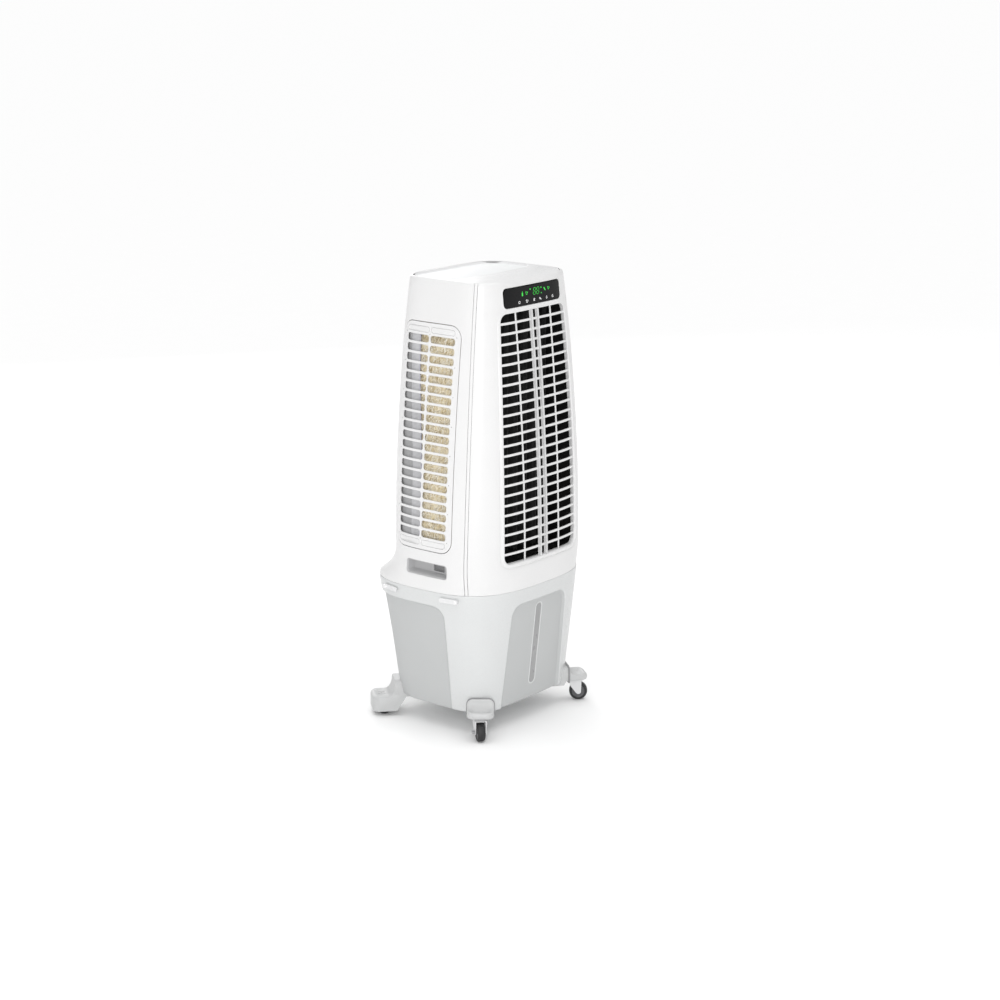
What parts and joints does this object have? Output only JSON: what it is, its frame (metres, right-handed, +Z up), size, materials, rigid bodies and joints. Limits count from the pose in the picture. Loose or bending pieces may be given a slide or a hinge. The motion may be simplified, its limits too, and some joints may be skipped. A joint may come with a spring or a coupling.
{
  "type": "evaporative air cooler",
  "caption": "Tapered upright mobile air cooler: slotted side and rear intakes, barred front outlet with swing vanes, touch display, grey water tank and caster feet.",
  "frame": {"origin": "centre of the footprint, on the floor under the casters", "axes": "+Z up, air outlet and display face -Y, +X to the right as seen from behind"},
  "size_m": [0.5172, 0.44, 1.2],
  "materials": {
    "white_plastic": "satin white moulding",
    "tank_grey": "fine-textured light grey moulding",
    "grip_grey": "matt mid grey moulding",
    "black_plastic": "matt black moulding",
    "display_black": "glossy dark lens",
    "circuit_green": "coated board",
    "window_clear": "translucent grey",
    "float_red": "dull red",
    "wood_wool": "shredded aspen wood fibre",
    "filter_mesh": "woven grey mesh",
    "motor_metal": "cast and painted metal",
    "tyre_black": "smooth black rubber"
  },
  "bodies": {
    "tank_unit": {"water_tank": "tank_grey", "level_window": "window_clear", "bracket_front_left": "tank_grey", "bracket_front_right": "tank_grey", "bracket_rear_left": "tank_grey", "bracket_rear_right": "tank_grey"},
    "tower": {"front_cover": "white_plastic", "rear_housing": "white_plastic", "seam_strip_left": "white_plastic", "seam_strip_right": "white_plastic", "top_cover": "white_plastic", "front_grille": "white_plastic", "grille_rib_left": "white_plastic", "grille_rib_right": "white_plastic", "display_panel": "display_black", "control_board": "circuit_green", "grip_pocket_left": "grip_grey", "grip_pocket_right": "grip_grey", "air_duct": "black_plastic", "fan_motor_upper": "motor_metal", "fan_motor_lower": "motor_metal", "swing_motor": "motor_metal", "base_deck": "white_plastic", "distributor_tray": "grip_grey", "riser_pipe": "grip_grey", "water_pump": "black_plastic", "power_inlet": "grip_grey"},
    "intake_left": {"side_panel_left": "white_plastic", "dust_filter_left": "filter_mesh", "cooling_pad_left": "wood_wool"},
    "intake_right": {"side_panel_right": "white_plastic", "dust_filter_right": "filter_mesh", "cooling_pad_right": "wood_wool"},
    "intake_rear": {"rear_panel": "white_plastic", "cooling_pad_rear": "wood_wool"},
    "fan_upper_rotor": {"fan_upper": "black_plastic"},
    "fan_lower_rotor": {"fan_lower": "black_plastic"},
    "link_bar": {"vane_link": "black_plastic"},
    "float": {"level_float": "float_red"},
    "drain": {"drain_plug": "grip_grey"},
    "vane_1": {"swing_vane_1": "black_plastic"},
    "vane_2": {"swing_vane_2": "black_plastic"},
    "vane_3": {"swing_vane_3": "black_plastic"},
    "vane_4": {"swing_vane_4": "black_plastic"},
    "vane_5": {"swing_vane_5": "black_plastic"},
    "vane_6": {"swing_vane_6": "black_plastic"},
    "latch_front_left": {"rim_latch_front_left": "white_plastic"},
    "latch_front_right": {"rim_latch_front_right": "white_plastic"},
    "latch_rear_left": {"rim_latch_rear_left": "white_plastic"},
    "latch_rear_right": {"rim_latch_rear_right": "white_plastic"},
    "swivel_left": {"fork_left": "white_plastic"},
    "front_wheel_left_body": {"front_wheel_left": "tyre_black"},
    "rear_wheel_left_body": {"rear_wheel_left": "tyre_black"},
    "brake_left": {"brake_lever_left": "grip_grey"},
    "swivel_right": {"fork_right": "white_plastic"},
    "front_wheel_right_body": {"front_wheel_right": "tyre_black"},
    "rear_wheel_right_body": {"rear_wheel_right": "tyre_black"},
    "brake_right": {"brake_lever_right": "grip_grey"}
  },
  "joints": [
    {"name": "tower_lift", "type": "slide", "parent": "tank_unit", "child": "tower", "axis": [0, 0, 1], "range_m": [0, 0.35]},
    {"name": "intake_left_pull", "type": "slide", "parent": "tower", "child": "intake_left", "axis": [-1, 0, 0], "range_m": [0, 0.16]},
    {"name": "intake_right_pull", "type": "slide", "parent": "tower", "child": "intake_right", "axis": [1, 0, 0], "range_m": [0, 0.16]},
    {"name": "intake_rear_pull", "type": "slide", "parent": "tower", "child": "intake_rear", "axis": [0, 1, 0], "range_m": [0, 0.14]},
    {"name": "fan_upper_spin", "type": "hinge", "parent": "tower", "child": "fan_upper_rotor", "pos_m": [0, -0.065, 0.955], "axis": [0, 1, 0], "continuous": true},
    {"name": "fan_lower_spin", "type": "hinge", "parent": "tower", "child": "fan_lower_rotor", "pos_m": [0, -0.065, 0.635], "axis": [0, 1, 0], "continuous": true},
    {"name": "vane_1_swing", "type": "hinge", "parent": "tower", "child": "vane_1", "pos_m": [-0.1, -0.136, 0.79], "axis": [0, 0, 1], "range_deg": [-30, 30]},
    {"name": "vane_2_swing", "type": "hinge", "parent": "tower", "child": "vane_2", "pos_m": [-0.06, -0.136, 0.79], "axis": [0, 0, 1], "range_deg": [-30, 30]},
    {"name": "vane_3_swing", "type": "hinge", "parent": "tower", "child": "vane_3", "pos_m": [-0.02, -0.136, 0.79], "axis": [0, 0, 1], "range_deg": [-30, 30]},
    {"name": "vane_4_swing", "type": "hinge", "parent": "tower", "child": "vane_4", "pos_m": [0.02, -0.136, 0.79], "axis": [0, 0, 1], "range_deg": [-30, 30]},
    {"name": "vane_5_swing", "type": "hinge", "parent": "tower", "child": "vane_5", "pos_m": [0.06, -0.136, 0.79], "axis": [0, 0, 1], "range_deg": [-30, 30]},
    {"name": "vane_6_swing", "type": "hinge", "parent": "tower", "child": "vane_6", "pos_m": [0.1, -0.136, 0.79], "axis": [0, 0, 1], "range_deg": [-30, 30]},
    {"name": "link_bar_slide", "type": "slide", "parent": "tower", "child": "link_bar", "axis": [1, 0, 0], "range_m": [-0.0105, 0.0105]},
    {"name": "float_ride", "type": "slide", "parent": "tank_unit", "child": "float", "axis": [0, -0.1084, 0.9941], "range_m": [-0.2, 0]},
    {"name": "drain_plug_pull", "type": "slide", "parent": "tank_unit", "child": "drain", "axis": [0, 0.9817, -0.1904], "range_m": [0, 0.03]},
    {"name": "latch_front_left_turn", "type": "hinge", "parent": "tank_unit", "child": "latch_front_left", "pos_m": [-0.24216, -0.12068, 0.375], "axis": [-0.9789, -0.2044, 0], "range_deg": [0, 90]},
    {"name": "latch_rear_left_turn", "type": "hinge", "parent": "tank_unit", "child": "latch_rear_left", "pos_m": [-0.24236, 0.11867, 0.375], "axis": [-0.9783, 0.2073, 0], "range_deg": [-90, 0]},
    {"name": "latch_front_right_turn", "type": "hinge", "parent": "tank_unit", "child": "latch_front_right", "pos_m": [0.24216, -0.12068, 0.375], "axis": [0.9789, -0.2044, 0], "range_deg": [-90, 0]},
    {"name": "latch_rear_right_turn", "type": "hinge", "parent": "tank_unit", "child": "latch_rear_right", "pos_m": [0.24236, 0.11867, 0.375], "axis": [0.9783, 0.2073, 0], "range_deg": [0, 90]},
    {"name": "caster_left_swivel", "type": "hinge", "parent": "tank_unit", "child": "swivel_left", "pos_m": [-0.2065, -0.169, 0.056], "axis": [0, 0, 1], "continuous": true},
    {"name": "front_wheel_left_roll", "type": "hinge", "parent": "swivel_left", "child": "front_wheel_left_body", "pos_m": [-0.215, -0.17949, 0.025], "axis": [0.7771, -0.6293, 0], "continuous": true},
    {"name": "brake_left_press", "type": "hinge", "parent": "swivel_left", "child": "brake_left", "pos_m": [-0.215, -0.17949, 0.025], "axis": [0.7771, -0.6293, 0], "range_deg": [-20, 20]},
    {"name": "rear_wheel_left_roll", "type": "hinge", "parent": "tank_unit", "child": "rear_wheel_left_body", "pos_m": [-0.213, 0.16, 0.025], "axis": [1, 0, 0], "continuous": true},
    {"name": "caster_right_swivel", "type": "hinge", "parent": "tank_unit", "child": "swivel_right", "pos_m": [0.2065, -0.169, 0.056], "axis": [0, 0, 1], "continuous": true},
    {"name": "front_wheel_right_roll", "type": "hinge", "parent": "swivel_right", "child": "front_wheel_right_body", "pos_m": [0.215, -0.17949, 0.025], "axis": [0.7771, 0.6293, 0], "continuous": true},
    {"name": "brake_right_press", "type": "hinge", "parent": "swivel_right", "child": "brake_right", "pos_m": [0.215, -0.17949, 0.025], "axis": [0.7771, 0.6293, 0], "range_deg": [-20, 20]},
    {"name": "rear_wheel_right_roll", "type": "hinge", "parent": "tank_unit", "child": "rear_wheel_right_body", "pos_m": [0.213, 0.16, 0.025], "axis": [1, 0, 0], "continuous": true}
  ],
  "couplings": [
    {"joint": "vane_2_swing", "follows": "vane_1_swing", "ratio": 1},
    {"joint": "vane_3_swing", "follows": "vane_1_swing", "ratio": 1},
    {"joint": "vane_4_swing", "follows": "vane_1_swing", "ratio": 1},
    {"joint": "vane_5_swing", "follows": "vane_1_swing", "ratio": 1},
    {"joint": "vane_6_swing", "follows": "vane_1_swing", "ratio": 1},
    {"joint": "link_bar_slide", "follows": "vane_1_swing", "m_per_rad": -0.0195}
  ]
}
